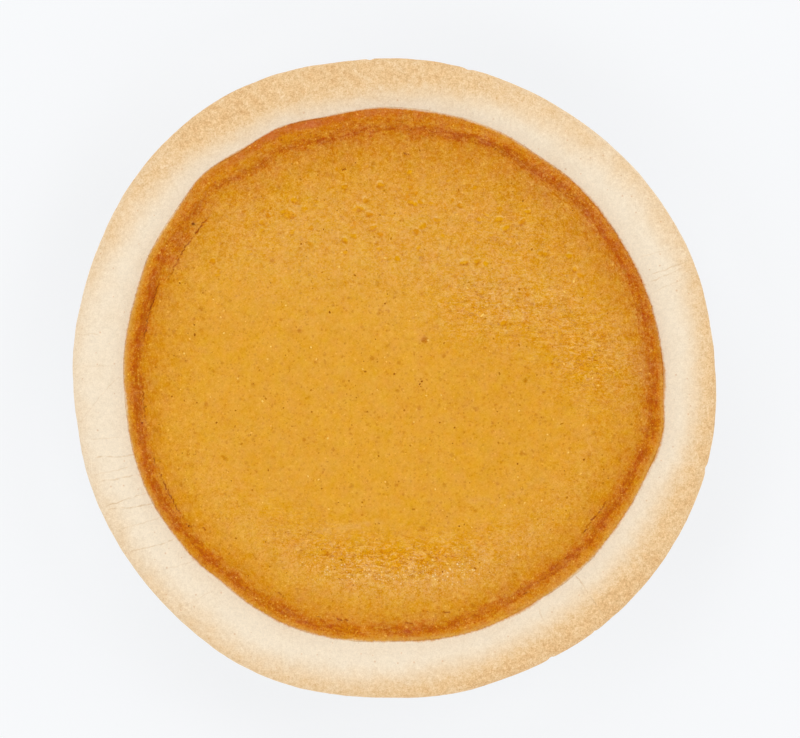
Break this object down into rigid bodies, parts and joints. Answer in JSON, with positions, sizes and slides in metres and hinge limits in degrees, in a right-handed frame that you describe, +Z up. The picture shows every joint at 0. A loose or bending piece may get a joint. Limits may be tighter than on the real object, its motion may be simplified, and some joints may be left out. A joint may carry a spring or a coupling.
{
  "type": "pumpkin pie",
  "caption": "Whole uncut round pumpkin pie: smooth set custard inside a broad plain pastry rim, baked in a thin foil tin that the rim hides from above.",
  "frame": {"origin": "centre of the tin's flat base, on the surface that the pie stands on", "axes": "+Z up out of the pie; +X to the right and +Y away when the pie is seen from above as pictured"},
  "size_m": [0.2354, 0.2342, 0.0366],
  "materials": {
    "foil": "thin bright foil, softly wrinkled",
    "pastry": "dry baked pastry, cream to golden tan",
    "custard": "set amber custard skin with a soft sheen"
  },
  "bodies": {
    "root": {"foil_tin": "foil", "crust": "pastry", "filling": "custard"}
  },
  "joints": []
}
